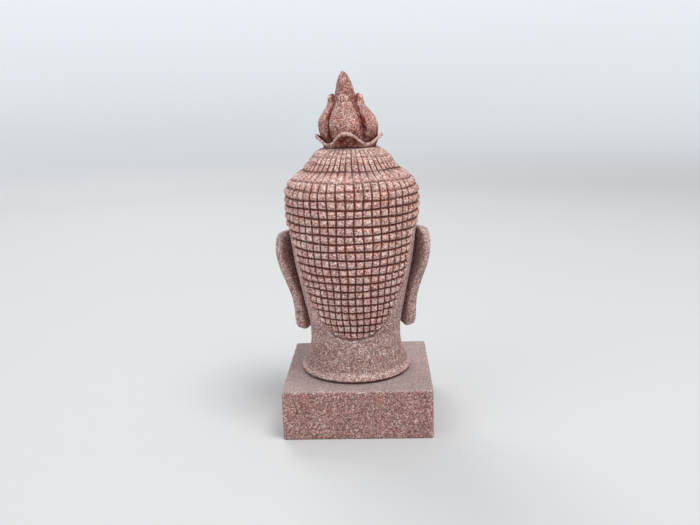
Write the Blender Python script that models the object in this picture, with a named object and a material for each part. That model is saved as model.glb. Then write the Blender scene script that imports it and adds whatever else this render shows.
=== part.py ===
"""A small head of the Buddha, cast in speckled stone, that stands on a square plinth.

Metres, +Z up. The origin is under the head's axis, on the plinth's underside, and the face looks
along -Y.
The head is drawn in units of its own height, of which one is a millimetre on the real piece.
"""

import math
from bisect import bisect_right

import bmesh
import bpy
from mathutils import Vector

MM = 0.001

# Plinth
PLINTH_SIDE = 45.0 * MM
PLINTH_HEIGHT = 15.2 * MM
PLINTH_CORNER_RADIUS = 1.0 * MM
PLINTH_EDGE_RADIUS = 0.5 * MM
CORNER_STEPS = 3
EDGE_STEPS = 2
HEAD_OFF_CENTRE = 0.7 * MM

# Head: its foot stands on the plinth's top, across the joint
JOINT_GAP = 0.3 * MM
FIGURE_HEIGHT = 91.8 * MM
UNITS_IN_FIGURE = 91.8
UNIT = FIGURE_HEIGHT / UNITS_IN_FIGURE

# Hair: rows of small square knobs, with one column on the middle of the back
HAIR_COLUMNS = 48
HAIR_RELIEF = 0.55 * MM
HAIR_GROOVE = 0.42 * MM
TOPKNOT_RELIEF = 0.6 * MM

# Heights above the neck's foot, in units
NAPE = 13.14
HAIR_CROWN = 60.58
SKULL_ROWS = 20
ROW_SHRINK = 0.0049
TOPKNOT_LINES = (63.39, 65.24, 67.11, 69.43)
HEAD_TOP = 70.6
NECK_LINES = (0.0, 0.45, 1.2, 2.4, 4.4, 7.4, 9.2, 10.2, 11.1, 12.1)
NECK_TOP = 8.0
NECK_COLUMNS = HAIR_COLUMNS // 2

# Hairline: turns in degrees from the middle of the back, and rises and falls in units
BEHIND_EAR = 64.0
OVER_EAR = 70.0
TEMPLE = 108.0
BROW_CORNER = 146.0
NAPE_TO_EAR = 26.0
NAPE_FULLNESS = 2.5
RISE_OVER_EAR = 6.6
FOREHEAD_SAG = 7.0

# Outlines of the head without its hair: (height, distance from the axis), in units
BACK = (
    (0.0, 17.2), (0.45, 17.4), (1.0, 17.3), (3.4, 15.8), (6.5, 14.7), (10.0, 14.3), (13.5, 14.4),
    (17.5, 15.7), (21.5, 17.3), (25.5, 18.7), (30.0, 19.9), (35.0, 20.8), (41.0, 21.15),
    (49.0, 21.1), (53.5, 20.75), (56.5, 20.1), (59.0, 19.0), (60.9, 17.6), (62.2, 15.9),
    (63.2, 14.3), (65.5, 12.8), (67.1, 11.5), (68.5, 9.6), (69.6, 8.0), (70.6, 6.0),
)
SIDE = (
    (0.0, 17.2), (0.45, 17.4), (1.0, 17.3), (3.4, 15.8), (6.5, 14.7), (10.0, 14.2), (13.5, 14.2),
    (17.5, 14.8), (21.5, 15.6), (28.5, 17.0), (35.0, 18.3), (41.0, 19.1), (47.0, 19.8),
    (52.0, 20.2), (56.5, 20.1), (59.0, 19.1), (60.9, 17.7), (62.2, 15.9), (63.2, 14.35),
    (65.5, 12.7), (67.1, 11.5), (68.5, 9.6), (69.6, 8.0), (70.6, 6.0),
)
FRONT = (
    (0.0, 17.2), (0.45, 17.4), (1.0, 17.3), (3.4, 15.4), (6.5, 13.8), (8.6, 13.3), (9.6, 14.0),
    (10.5, 15.6), (11.4, 17.0), (12.8, 17.8), (15.5, 18.1), (21.0, 18.1), (28.0, 18.4),
    (35.0, 18.5), (41.0, 18.9), (47.0, 19.4), (52.0, 19.3), (56.5, 18.6), (59.0, 17.6),
    (60.9, 16.4), (62.2, 15.3), (63.2, 14.2), (65.5, 12.7), (67.1, 11.5), (68.5, 9.6),
    (69.6, 8.0), (70.6, 6.0),
)
FACE_SQUARENESS = ((0.0, 2.0), (12.0, 2.0), (22.0, 2.1), (34.0, 2.25), (46.0, 2.15), (60.0, 2.0))

# Face: a head of three equal parts from chin to hairline, and finer cells over its width
CHIN = 11.0
FACE_THIRD = 13.3
FACE_HALF_ANGLE = 42.0
FACE_BOTTOM = CHIN - 1.0
FACE_TOP = CHIN + 2.2 * FACE_THIRD
FOREHEAD = CHIN + 3 * FACE_THIRD - 0.4
JAW_RISE = 6.5

# Ears: each level's height above the foot, its front root, its back rim (x, y) and its thickness
EAR_LEVELS = (
    (12.0, (15.9, -6.2), (16.9, -3.6), 1.6),
    (12.9, (15.3, -7.6), (17.4, -2.2), 2.9),
    (15.0, (15.0, -8.3), (17.9, -1.3), 3.3),
    (18.5, (15.0, -8.6), (18.1, -0.7), 3.0),
    (23.0, (15.6, -8.6), (18.6, 0.3), 2.8),
    (28.5, (16.4, -8.6), (20.1, 1.9), 2.8),
    (34.5, (17.5, -8.6), (22.0, 3.6), 2.9),
    (39.5, (18.1, -8.0), (23.0, 4.2), 3.0),
    (42.8, (18.5, -6.6), (22.8, 3.4), 2.9),
    (44.4, (18.9, -4.6), (22.1, 1.6), 2.4),
    (45.0, (19.5, -3.0), (21.2, 0.2), 1.4),
)
EAR_HOLLOW = 0.55
LEFT_EAR_DROP = 1.0
RIGHT_EAR_DROP = 0.4

# Finial: heights above the foot and distances from its axis, in units. It leans a little to one side.
PETALS = 4
CORE = (
    (91.8, 0.0), (91.6, 0.45), (90.6, 1.2), (89.2, 1.9), (86.3, 2.65), (83.0, 3.7), (79.5, 5.5),
    (76.0, 6.3), (72.5, 6.2), (69.0, 5.6), (66.0, 4.5),
)
CORE_SIDES = 18
PETAL_PATH = (
    (69.6, 7.0), (71.5, 8.0), (73.6, 8.75), (76.0, 9.0), (77.5, 8.7), (78.9, 7.95), (80.4, 6.8),
    (81.9, 5.75), (83.3, 5.3), (84.5, 5.2), (85.3, 4.6),
)
PETAL_HALF_ANGLE = (
    (69.6, 0.62), (73.0, 0.66), (79.0, 0.66), (81.9, 0.64), (83.2, 0.46), (84.4, 0.34), (85.3, 0.22),
)
PETAL_RINGS = (0.0, 0.2, 0.4, 0.56, 0.7, 0.86, 0.95, 1.0)
PETAL_THICKNESS = ((69.6, 2.4), (76.0, 2.4), (81.0, 2.0), (84.4, 1.6), (85.3, 1.0))
PETAL_CROWN = 0.35
PETAL_TURN = math.radians(-7.0)

# Cup under the petals: (height, distance from the axis) of its foot, its waist, and its rim
# between two petals and under one. The tips at the front and back stand higher than the others.
CALYX_BASE = (67.1, 5.4)
CALYX_WAIST = (69.1, 7.8)
CALYX_RIM = (71.0, 8.6)
CALYX_TIP = (74.0, 10.3)
CALYX_TIP_SWAY = 0.45
CALYX_TIP_SHARPNESS = 1.15
CALYX_BELLY = 0.3
CALYX_WALL = 0.9
CALYX_TIP_WALL = 1.9
CALYX_FLOOR = (70.0, 5.5)
CALYX_COLUMNS = 28
CALYX_TURN = math.radians(-3.0)

FINIAL_LEAN = 1.5
LEAN_FROM = 69.0

STONE_COLOUR = (0.36, 0.22, 0.20, 1.0)
PLINTH_COLOUR = (0.38, 0.26, 0.24, 1.0)
STONE_ROUGHNESS = 0.85


def clear_scene():
    for old in list(bpy.data.objects):
        bpy.data.objects.remove(old, do_unlink=True)


def make_collection(name):
    collection = bpy.data.collections.new(name)
    bpy.context.scene.collection.children.link(collection)
    return collection


def stone(name, colour):
    material = bpy.data.materials.new(name)
    material.use_nodes = True
    shader = material.node_tree.nodes["Principled BSDF"]
    shader.inputs["Base Color"].default_value = colour
    shader.inputs["Roughness"].default_value = STONE_ROUGHNESS
    return material


def through(points, place):
    """The value at a place on the smooth curve through (place, value) points, which never overshoots."""
    places = [p for p, _ in points]
    if place <= places[0]:
        return points[0][1]
    if place >= places[-1]:
        return points[-1][1]

    def slope(i):
        if i in (0, len(points) - 1):
            return 0.0
        before = (points[i][1] - points[i - 1][1]) / (places[i] - places[i - 1])
        after = (points[i + 1][1] - points[i][1]) / (places[i + 1] - places[i])
        return 0.0 if before * after <= 0 else 2 * before * after / (before + after)

    i = bisect_right(places, place) - 1
    span = places[i + 1] - places[i]
    t = (place - places[i]) / span
    start, end = points[i][1], points[i + 1][1]
    return (
        start * (1 + 2 * t) * (1 - t) ** 2
        + end * t * t * (3 - 2 * t)
        + span * t * (1 - t) * (slope(i) * (1 - t) - slope(i + 1) * t)
    )


def hill(distance, reach):
    """A smooth rise that is one at its middle and fades over its reach."""
    return math.exp(-0.5 * (distance / reach) ** 2)


def step(edge_low, edge_high, value):
    """Zero below the lower edge, one above the upper, and smooth between."""
    t = min(1.0, max(0.0, (value - edge_low) / (edge_high - edge_low)))
    return t * t * (3 - 2 * t)


def face_relief(x, height):
    """How far the features stand out of the plain oval, for a place across the face, in units."""
    x = abs(x)
    brow, nose_base = CHIN + 2 * FACE_THIRD, CHIN + FACE_THIRD
    eye = brow - 0.30 * FACE_THIRD
    mouth = nose_base - 0.34 * FACE_THIRD
    relief = 0.0
    # Brow: an arch that rises from the root of the nose
    arch = brow - 1.4 + 2.6 * math.sin(min(x / 11.5, 1.0) * math.pi * 0.62)
    relief += 0.55 * hill(height - arch, 1.3) * (1 - step(10.5, 14.0, x))
    # Eyes: a lowered lid that swells out of a shallow socket
    relief -= 1.5 * hill(x - 6.6, 4.0) * hill(height - eye - 0.4, 2.6)
    relief += 1.5 * hill(x - 7.2, 2.8) * hill(height - eye + 0.6, 1.7)
    # Nose: a ridge that widens and lifts from between the brows to its tip
    ridge = (
        (nose_base - 0.9, 0.0), (nose_base + 1.6, 3.2), (eye - 0.5, 1.5), (brow, 0.6), (brow + 4.0, 0.0),
    )
    width = ((nose_base, 2.0), (nose_base + 3.5, 1.5), (brow, 1.4))
    relief += through(ridge, height) * hill(x, through(width, height))
    relief += 1.0 * hill(x - 2.6, 1.1) * hill(height - nose_base - 1.5, 1.2)
    # Mouth: two full lips over a small chin
    relief += 1.0 * hill(x, 4.2) * hill(height - mouth - 1.0, 1.0)
    relief += 1.1 * hill(x, 3.3) * hill(height - mouth + 1.2, 1.0)
    relief -= 0.6 * hill(x, 4.8) * hill(height - mouth, 0.45)
    relief -= 0.5 * hill(x, 4.0) * hill(height - mouth + 3.3, 0.9)
    relief += 1.1 * hill(x, 3.4) * hill(height - CHIN - 3.4, 2.2)
    # Cheeks
    relief += 0.7 * hill(x - 10.0, 4.0) * hill(height - nose_base - 3.0, 4.5)
    return relief


def head_point(turn, height):
    """A point of the bare head: turn is the angle from the middle of the back, height is in units."""
    across, along = math.sin(turn), math.cos(turn)
    if along >= 0:
        squareness, depth = 2.0, through(BACK, height)
    else:
        jaw_rise = JAW_RISE * across * across * step(5.0, 9.0, height) * (1 - step(14.0, 24.0, height))
        squareness, depth = through(FACE_SQUARENESS, height), through(FRONT, height - jaw_rise)
    power = 2.0 / squareness
    x = through(SIDE, height) * math.copysign(abs(across) ** power, across)
    y = depth * math.copysign(abs(along) ** power, along)
    if along < 0:
        facing = step(0.2, 0.75, -along)
        y -= facing * face_relief(x, height)
    return Vector((x, y, height)) * UNIT + Vector((0, 0, PLINTH_HEIGHT + JOINT_GAP))


def hairline(turn):
    """The lowest hair at an angle from the middle of the back, in units above the foot."""
    turn = abs(math.degrees(turn))
    if turn < BEHIND_EAR:
        return NAPE + NAPE_TO_EAR * (1 - math.sqrt(1 - (turn / BEHIND_EAR) ** NAPE_FULLNESS))
    if turn < TEMPLE:
        return NAPE + NAPE_TO_EAR + RISE_OVER_EAR * step(BEHIND_EAR, OVER_EAR, turn)
    return FOREHEAD - FOREHEAD_SAG * (1 - step(TEMPLE, BROW_CORNER, turn))


def hair_lines():
    """The heights of the grooves between the rows of knobs, from the nape up."""
    pitch = (HAIR_CROWN - NAPE) / SKULL_ROWS + ROW_SHRINK * SKULL_ROWS
    skull = [HAIR_CROWN - pitch * k + ROW_SHRINK * k * k for k in range(SKULL_ROWS + 1)]
    return skull[::-1] + list(TOPKNOT_LINES)


def bare_head(lines):
    """The head as a grid of cells, with each corner's turn and height kept on it."""
    mesh = bmesh.new()
    turn_of = mesh.verts.layers.float.new("turn")
    height_of = mesh.verts.layers.float.new("height")
    rows = []
    for height in lines:
        row = []
        columns = NECK_COLUMNS if height < NECK_TOP else HAIR_COLUMNS
        for column in range(0, HAIR_COLUMNS, HAIR_COLUMNS // columns):
            turn = 2 * math.pi * (column + 0.5) / HAIR_COLUMNS
            vertex = mesh.verts.new(head_point(turn, height))
            vertex[turn_of], vertex[height_of] = turn, height
            row.append(vertex)
        rows.append(row)
    for lower, upper in zip(rows, rows[1:]):
        finer = len(upper) // len(lower)
        for i, vertex in enumerate(lower):
            above = [upper[(finer * i + k) % len(upper)] for k in range(finer + 1)]
            mesh.faces.new([lower[(i + 1) % len(lower)], vertex] + above)
    mesh.faces.new(rows[0])
    mesh.faces.new(reversed(rows[-1]))
    return mesh


def cell_place(face, turn_of, height_of):
    """The middle of a cell: its turn, from minus to plus half a circle, and its height."""
    turns = [vertex[turn_of] for vertex in face.verts]
    if max(turns) - min(turns) > math.pi:
        turn = 0.0
    else:
        turn = sum(turns) / len(turns)
    height = sum(vertex[height_of] for vertex in face.verts) / len(face.verts)
    return (turn - 2 * math.pi if turn > math.pi else turn), height


def refine_face(mesh, cells):
    """Cuts the cells of the face in four and sets the new corners on the head."""
    turn_of = mesh.verts.layers.float["turn"]
    height_of = mesh.verts.layers.float["height"]
    edges = {edge for cell in cells for edge in cell.edges}
    bmesh.ops.subdivide_edges(mesh, edges=list(edges), cuts=1, use_grid_fill=True)
    for vertex in mesh.verts:
        vertex.co = head_point(vertex[turn_of], vertex[height_of])


def raise_knobs(mesh, cells, topknot):
    """Makes each cell of hair a small knob, with a groove all round it."""
    bmesh.ops.inset_individual(
        mesh, faces=cells, thickness=HAIR_GROOVE, depth=HAIR_RELIEF, use_even_offset=True
    )
    bmesh.ops.poke(mesh, faces=topknot, offset=TOPKNOT_RELIEF, center_mode="MEAN")


def head_body():
    neck = list(NECK_LINES)
    hair = hair_lines()
    mesh = bare_head(neck + hair + [HEAD_TOP])
    turn_of = mesh.verts.layers.float["turn"]
    height_of = mesh.verts.layers.float["height"]
    knobs, topknot, face = [], [], []
    for cell in list(mesh.faces):
        if len(cell.verts) != 4:
            continue
        turn, height = cell_place(cell, turn_of, height_of)
        if height > TOPKNOT_LINES[0] and height < TOPKNOT_LINES[-1]:
            topknot.append(cell)
        elif height > hairline(turn) and height < TOPKNOT_LINES[0]:
            knobs.append(cell)
        elif abs(turn) > math.pi - math.radians(FACE_HALF_ANGLE) and FACE_BOTTOM < height < FACE_TOP:
            face.append(cell)
    refine_face(mesh, face)
    raise_knobs(mesh, knobs, topknot)
    return mesh


def lofted(rings):
    """A closed body through rings of the same number of points."""
    mesh = bmesh.new()
    rows = [[mesh.verts.new(point) for point in ring] for ring in rings]
    for lower, upper in zip(rows, rows[1:]):
        for i, vertex in enumerate(lower):
            after = (i + 1) % len(lower)
            mesh.faces.new((vertex, lower[after], upper[after], upper[i]))
    mesh.faces.new(rows[0][::-1])
    mesh.faces.new(rows[-1])
    bmesh.ops.recalc_face_normals(mesh, faces=mesh.faces)
    return mesh


def add_body(together, body):
    """Moves a body into a mesh that holds several."""
    carrier = bpy.data.meshes.new("body")
    body.to_mesh(carrier)
    body.free()
    together.from_mesh(carrier)
    bpy.data.meshes.remove(carrier)


def ear_ring(level):
    """One level of the ear: a blade from its root to a rounded rim, hollowed on its outer face."""
    height, root, rim, thickness = level
    root, rim = Vector((*root, height)), Vector((*rim, height))
    outward = (rim - root).cross(Vector((0, 0, 1))).normalized()
    length = (rim - root).length
    half = thickness / 2
    hollow = EAR_HOLLOW * min(1.0, length / 9.0)
    outer = ((0.0, 0.9), (0.22, 1.0), (0.45, 1.0 - hollow), (0.68, 1.0 - hollow), (0.88, 1.0), (1.0, 0.45))
    inner = ((1.0, -0.45), (0.88, -1.0), (0.5, -1.0), (0.0, -1.0))
    return [root.lerp(rim, share) + outward * half * side for share, side in outer + inner]


def on_plinth(point):
    return Vector(point) * UNIT + Vector((0, 0, PLINTH_HEIGHT + JOINT_GAP))


def ear_bodies():
    """Both ears, as one mesh of two bodies. The left one is set a little lower."""
    both = bmesh.new()
    for side, drop in ((1, LEFT_EAR_DROP), (-1, RIGHT_EAR_DROP)):
        rings = []
        for level in EAR_LEVELS:
            rings.append([on_plinth((side * x, y, height - drop)) for x, y, height in ear_ring(level)])
        add_body(both, lofted(rings))
    return both


def on_finial(turn, radius, height):
    """A place round the leaning finial, in metres. A turn of zero looks forward."""
    lean = FINIAL_LEAN * max(0.0, (height - LEAN_FROM) / (UNITS_IN_FIGURE - LEAN_FROM))
    return on_plinth((radius * math.sin(turn) + lean, -radius * math.cos(turn), height))


def petal_ring(share, turn):
    """One level of a petal: a thick leaf that is curved round the bud."""
    lowest, highest = PETAL_PATH[0][0], PETAL_PATH[-1][0]
    height = lowest + share * (highest - lowest)
    radius = through(PETAL_PATH, height)
    half_angle = through(PETAL_HALF_ANGLE, height)
    thickness = through(PETAL_THICKNESS, height)
    ring = [(across, PETAL_CROWN * across * across) for across in (-1.0, -0.5, 0.0, 0.5, 1.0)]
    ring += [(0.6, 1.0), (0.0, 1.0), (-0.6, 1.0)]
    return [
        on_finial(turn + half_angle * across, radius - thickness * depth, height) for across, depth in ring
    ]


def petal_bodies():
    """Four petals round the bud, as one mesh of separate bodies."""
    petals = bmesh.new()
    for petal in range(PETALS):
        turn = 2 * math.pi * petal / PETALS + PETAL_TURN
        add_body(petals, lofted([petal_ring(share, turn) for share in PETAL_RINGS]))
    return petals


def calyx_body():
    """A low cup whose rim rises to a turned-out tip under each petal."""
    rings = [[] for _ in range(6)]
    for column in range(CALYX_COLUMNS):
        turn = 2 * math.pi * column / CALYX_COLUMNS
        rise = (0.5 + 0.5 * math.cos(PETALS * turn)) ** CALYX_TIP_SHARPNESS
        tip_height = CALYX_TIP[0] + CALYX_TIP_SWAY * math.cos(2 * turn)
        rim_height = CALYX_RIM[0] + rise * (tip_height - CALYX_RIM[0])
        rim_radius = CALYX_RIM[1] + rise * (CALYX_TIP[1] - CALYX_RIM[1])
        belly_radius = CALYX_WAIST[1] + CALYX_BELLY * (rim_radius - CALYX_WAIST[1])
        wall = CALYX_WALL + rise * (CALYX_TIP_WALL - CALYX_WALL)
        places = (
            CALYX_BASE,
            CALYX_WAIST,
            (0.5 * (CALYX_WAIST[0] + rim_height), belly_radius),
            (rim_height, rim_radius),
            (rim_height - 0.5 * CALYX_WALL, rim_radius - wall),
            CALYX_FLOOR,
        )
        for ring, (height, radius) in zip(rings, places):
            ring.append(on_finial(turn + CALYX_TURN, radius, height))
    return lofted(rings)


def place_object(name, mesh, collection):
    data = bpy.data.meshes.new(name)
    mesh.to_mesh(data)
    mesh.free()
    placed = bpy.data.objects.new(name, data)
    collection.objects.link(placed)
    return placed


def as_helper(helper):
    helper.hide_render = True
    helper.display_type = "WIRE"
    return helper


def core_body():
    """The closed bud and its spike."""
    turns = [2 * math.pi * side / CORE_SIDES for side in range(CORE_SIDES)]
    mesh = lofted([[on_finial(turn, radius, height) for turn in turns] for height, radius in CORE[1:]])
    ends = [face for face in mesh.faces if len(face.verts) == CORE_SIDES]
    top = max(ends, key=lambda face: face.calc_center_median().z)
    tip = bmesh.ops.poke(mesh, faces=[top])["verts"][0]
    tip.co = on_finial(0.0, CORE[0][1], CORE[0][0])
    return mesh


def make_head(collection, helpers, material):
    head = place_object("buddha_head", head_body(), collection)
    head.data.materials.append(material)
    joined = {
        "Ears": as_helper(place_object("ears", ear_bodies(), helpers)),
        "Bud": as_helper(place_object("bud_core", core_body(), helpers)),
        "Calyx": as_helper(place_object("calyx", calyx_body(), helpers)),
        "Petals": as_helper(place_object("petals", petal_bodies(), helpers)),
    }
    for name, form in joined.items():
        union = head.modifiers.new(name, "BOOLEAN")
        union.operation = "UNION"
        union.object = form
    return head


def rounded_edges(mesh, edges, radius, steps):
    bmesh.ops.bevel(mesh, geom=edges, offset=radius, segments=steps, profile=0.5, affect="EDGES")


def make_plinth(collection, material):
    """The square slab. The head stands a little off its centre, so the slab is moved the other way."""
    mesh = bmesh.new()
    bmesh.ops.create_cube(mesh, size=1.0)
    bmesh.ops.scale(mesh, vec=(PLINTH_SIDE, PLINTH_SIDE, PLINTH_HEIGHT), verts=mesh.verts)
    bmesh.ops.translate(mesh, vec=(-HEAD_OFF_CENTRE, 0, PLINTH_HEIGHT / 2), verts=mesh.verts)

    def rise(edge):
        return abs(edge.verts[0].co.z - edge.verts[1].co.z)

    upright = [edge for edge in mesh.edges if rise(edge) > PLINTH_HEIGHT / 2]
    rounded_edges(mesh, upright, PLINTH_CORNER_RADIUS, CORNER_STEPS)
    level = [edge for edge in mesh.edges if rise(edge) < PLINTH_HEIGHT / 2]
    rounded_edges(mesh, level, PLINTH_EDGE_RADIUS, EDGE_STEPS)
    plinth = place_object("plinth", mesh, collection)
    plinth.data.materials.append(material)
    return plinth


clear_scene()
statue = make_collection("buddha_head_on_plinth")
joined_forms = make_collection("joined_forms")
make_plinth(statue, stone("plinth_stone", PLINTH_COLOUR))
make_head(statue, joined_forms, stone("head_stone", STONE_COLOUR))
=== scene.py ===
"""The looks of a small cast stone head of the Buddha on its square plinth, made round its solids."""

import math

import bmesh
import bpy
import numpy as np
from mathutils import Matrix, Vector


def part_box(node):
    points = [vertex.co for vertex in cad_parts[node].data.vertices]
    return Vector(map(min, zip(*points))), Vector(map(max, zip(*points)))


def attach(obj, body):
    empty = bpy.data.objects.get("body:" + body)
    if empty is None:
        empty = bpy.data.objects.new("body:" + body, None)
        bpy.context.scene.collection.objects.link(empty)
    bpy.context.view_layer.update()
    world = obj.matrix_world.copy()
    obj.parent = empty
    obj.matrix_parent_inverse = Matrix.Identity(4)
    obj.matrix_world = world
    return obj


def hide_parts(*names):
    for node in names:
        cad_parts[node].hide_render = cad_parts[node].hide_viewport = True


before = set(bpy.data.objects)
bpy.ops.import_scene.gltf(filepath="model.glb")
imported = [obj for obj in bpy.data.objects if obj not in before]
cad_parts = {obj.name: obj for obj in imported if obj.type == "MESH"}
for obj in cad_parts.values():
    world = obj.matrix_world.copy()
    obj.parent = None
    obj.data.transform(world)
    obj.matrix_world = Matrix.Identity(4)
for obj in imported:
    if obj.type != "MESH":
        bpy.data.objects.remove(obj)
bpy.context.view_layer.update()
MM = 0.001

# Camera: behind the head, level with the finial and looking a little down, as the photograph was
# taken. It was fitted to the plinth's corners. Its place is the one before its turn round the
# upright axis, and its angles are in radians.
IMAGE_WIDTH = 700.0
FOCAL_LENGTH_PX = 747.8
SENSOR_WIDTH = 36.0
CAMERA_PLACE = (-1.14 * MM, -228.5 * MM, 101.2 * MM)
CAMERA_DOWN, CAMERA_ROLL, OBJECT_TURN = 0.2243, 0.0317, -0.0432
NEAREST, FARTHEST = 0.01, 20.0

lens = bpy.data.cameras.new("camera")
lens.sensor_width = SENSOR_WIDTH
lens.lens = SENSOR_WIDTH * FOCAL_LENGTH_PX / IMAGE_WIDTH
lens.clip_start, lens.clip_end = NEAREST, FARTHEST
camera = bpy.data.objects.new("camera", lens)
bpy.context.scene.collection.objects.link(camera)
camera.matrix_world = (
    Matrix.Rotation(math.pi - OBJECT_TURN, 4, "Z")
    @ Matrix.Translation(CAMERA_PLACE)
    @ Matrix.Rotation(math.pi / 2 - CAMERA_DOWN, 4, "X")
    @ Matrix.Rotation(-CAMERA_ROLL, 4, "Z")
)
bpy.context.scene.camera = camera


# Stone: crushed sandstone bound with resin. Its grains are under half a millimetre across, from dark
# red-brown through dusty pink and grey to white. Both pieces are cast in it, so the grain is a group.
GRAIN, FINE_GRAIN, COARSE_SHARE = 0.33 * MM, 0.20 * MM, 0.58
GRAIN_COLOURS = (
    (0.00, (0.040, 0.008, 0.006)),
    (0.15, (0.110, 0.025, 0.018)),
    (0.30, (0.245, 0.075, 0.055)),
    (0.47, (0.355, 0.152, 0.122)),
    (0.66, (0.475, 0.258, 0.218)),
    (0.82, (0.700, 0.480, 0.430)),
    (1.00, (0.980, 0.850, 0.810)),
)
GREY_GRAINS = (0.300, 0.275, 0.255)
RED_GRAINS = (0.310, 0.105, 0.075)
DRIFTS_PER_METRE, DRIFT_STRENGTH = 110.0, 0.30
PATCHES_PER_METRE, PATCH_STRENGTH = 420.0, 0.26
SKIN_CONTRAST = 0.45


def node(tree, kind, links=(), **settings):
    """Adds a node. links maps its inputs to another node's output, or to a plain value."""
    made = tree.nodes.new(kind)
    for name, value in settings.items():
        setattr(made, name, value)
    for socket, value in dict(links).items():
        if isinstance(value, bpy.types.NodeSocket):
            tree.links.new(value, made.inputs[socket])
        else:
            made.inputs[socket].default_value = value
    return made


def add_sockets(tree, way, *sockets):
    """Adds inputs or outputs to a tree, each from its name, its kind and perhaps its value."""
    for name, kind, *value in sockets:
        socket = tree.interface.new_socket(name, in_out=way, socket_type="NodeSocket" + kind)
        if value:
            socket.default_value = value[0]


def ramp(tree, factor, stops):
    """A colour ramp through (place, colour) stops."""
    made = node(tree, "ShaderNodeValToRGB", {"Fac": factor})
    elements = made.color_ramp.elements
    while len(elements) < len(stops):
        elements.new(1.0)
    for element, (place, colour) in zip(elements, stops):
        element.position = place
        element.color = (*colour, 1.0)
    return made.outputs["Color"]


def mix(tree, kind, factor, first, second):
    """Two colours mixed by a factor, in one of the blend modes."""
    made = node(tree, "ShaderNodeMix", data_type="RGBA", blend_type=kind)
    for place, value in ((0, factor), (6, first), (7, second)):
        if isinstance(value, bpy.types.NodeSocket):
            tree.links.new(value, made.inputs[place])
        else:
            made.inputs[place].default_value = (*value, 1.0) if place else value
    return made.outputs[2]


def maths(tree, operation, first, second=0.0, third=0.0):
    """The outcome of an operation on up to three values, each another node's output or plain."""
    return node(tree, "ShaderNodeMath", {0: first, 1: second, 2: third}, operation=operation).outputs[0]


def spread(tree, value, low, high, to_low=0.0, to_high=1.0):
    """A value from one range spread over another, and held inside it."""
    links = {"Value": value, "From Min": low, "From Max": high, "To Min": to_low, "To Max": to_high}
    return node(tree, "ShaderNodeMapRange", links).outputs["Result"]


def noise(tree, place, per_metre, detail=2.0, output="Fac"):
    """Soft noise with this many features in a metre."""
    links = {"Vector": place, "Scale": per_metre, "Detail": detail}
    return node(tree, "ShaderNodeTexNoise", links).outputs[output]


def kept_on_points(tree, name):
    """A value that the mesh keeps on its points."""
    return node(tree, "ShaderNodeAttribute", attribute_name=name).outputs["Fac"]


def stone_grain_group():
    """Speckle, its height, and slow drifts of tone, on the object's own coordinates."""
    group = bpy.data.node_groups.new("sandstone_grain", "ShaderNodeTree")
    inputs = ("Grain Size", "Float", GRAIN), ("Contrast", "Float", 1.0), ("Tone", "Float", 0.5)
    add_sockets(group, "INPUT", *inputs)
    add_sockets(group, "OUTPUT", ("Color", "Color"), ("Level", "Float"), ("Height", "Float"))
    given = node(group, "NodeGroupInput").outputs
    place = node(group, "ShaderNodeTexCoord").outputs["Object"]
    # The grains are cells of two sizes, bent out of their plain shape by a swirl
    per_metre = maths(group, "DIVIDE", 1.0, given["Grain Size"])
    swirl = noise(group, place, per_metre, output="Color")
    offset = node(group, "ShaderNodeVectorMath", {0: swirl, 1: (0.5, 0.5, 0.5)}, operation="SUBTRACT")
    sizes = {0: offset.outputs[0], "Scale": given["Grain Size"]}
    reach = node(group, "ShaderNodeVectorMath", sizes, operation="SCALE")
    moved = node(group, "ShaderNodeVectorMath", {0: place, 1: reach.outputs[0]}, operation="ADD").outputs[0]
    finer_scale = maths(group, "MULTIPLY", per_metre, GRAIN / FINE_GRAIN)
    grains = node(group, "ShaderNodeTexVoronoi", {"Vector": moved, "Scale": per_metre})
    finer = node(group, "ShaderNodeTexVoronoi", {"Vector": moved, "Scale": finer_scale})
    coarse = node(group, "ShaderNodeSeparateColor", {"Color": grains.outputs["Color"]}).outputs
    fine = node(group, "ShaderNodeSeparateColor", {"Color": finer.outputs["Color"]}).outputs
    # Each grain has its own level, which picks its colour, over slow drifts of tone
    coarse_part = maths(group, "MULTIPLY", coarse["Red"], COARSE_SHARE)
    mixed = maths(group, "MULTIPLY_ADD", fine["Red"], 1 - COARSE_SHARE, coarse_part)
    centred = maths(group, "SUBTRACT", mixed, 0.5)
    drift = noise(group, place, DRIFTS_PER_METRE, 3.0)
    patches = noise(group, place, PATCHES_PER_METRE)
    slow = maths(group, "MULTIPLY_ADD", maths(group, "SUBTRACT", drift, 0.5), DRIFT_STRENGTH, given["Tone"])
    patchy = maths(group, "MULTIPLY_ADD", maths(group, "SUBTRACT", patches, 0.5), PATCH_STRENGTH, slow)
    on_skin = maths(group, "MULTIPLY_ADD", kept_on_points(group, "skin"), SKIN_CONTRAST, 1.0)
    stronger = maths(group, "MULTIPLY", given["Contrast"], on_skin)
    level = maths(group, "MULTIPLY_ADD", centred, stronger, patchy)
    speckle = ramp(group, level, GRAIN_COLOURS)
    # Some grains are grey, and a few are red, most of them in patches
    grey = spread(group, coarse["Green"], 0.74, 0.84, 0.0, 0.55)
    greyed = mix(group, "MIX", grey, speckle, GREY_GRAINS)
    in_patches = spread(group, patches, 0.40, 0.60, 0.1, 0.65)
    red = maths(group, "MULTIPLY", spread(group, coarse["Blue"], 0.84, 0.92), in_patches)
    colour = mix(group, "MIX", red, greyed, RED_GRAINS)
    height = maths(group, "SUBTRACT", 1.0, grains.outputs["Distance"])
    node(group, "NodeGroupOutput", {"Color": colour, "Level": level, "Height": height})
    return group


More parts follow.
